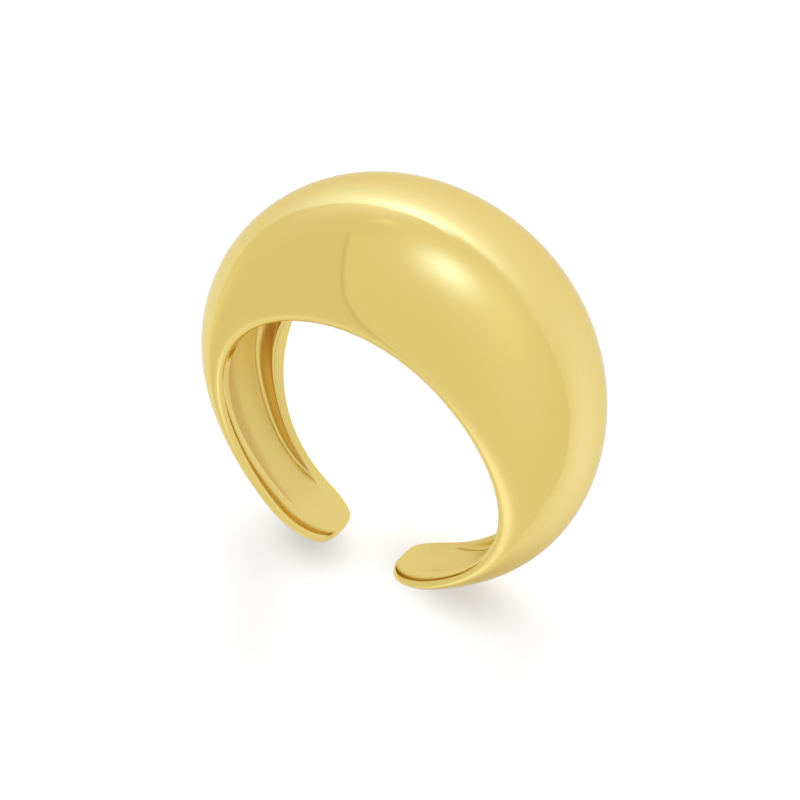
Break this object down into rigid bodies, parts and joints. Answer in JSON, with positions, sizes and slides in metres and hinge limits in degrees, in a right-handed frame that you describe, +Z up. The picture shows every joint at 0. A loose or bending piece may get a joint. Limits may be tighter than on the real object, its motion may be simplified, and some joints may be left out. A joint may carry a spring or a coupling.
{
  "type": "open dome ring",
  "caption": "Finger ring with a wide polished dome, hollowed from inside, that narrows on both sides into a thin open band with rounded ends.",
  "frame": {"origin": "bottom centre of the ring's box, on the table that the ring lies on", "axes": "+Z up from the table; +Y from the gap between the ends towards the dome; +X across, so that the ring is the same on both sides of X = 0. The finger's axis leans 13.7 degrees from +Z towards -Y."},
  "size_m": [0.0236, 0.0234, 0.0125],
  "materials": {
    "polished_gold": "polished yellow gold plating"
  },
  "bodies": {
    "root": {"ring_body": "polished_gold"}
  },
  "joints": []
}
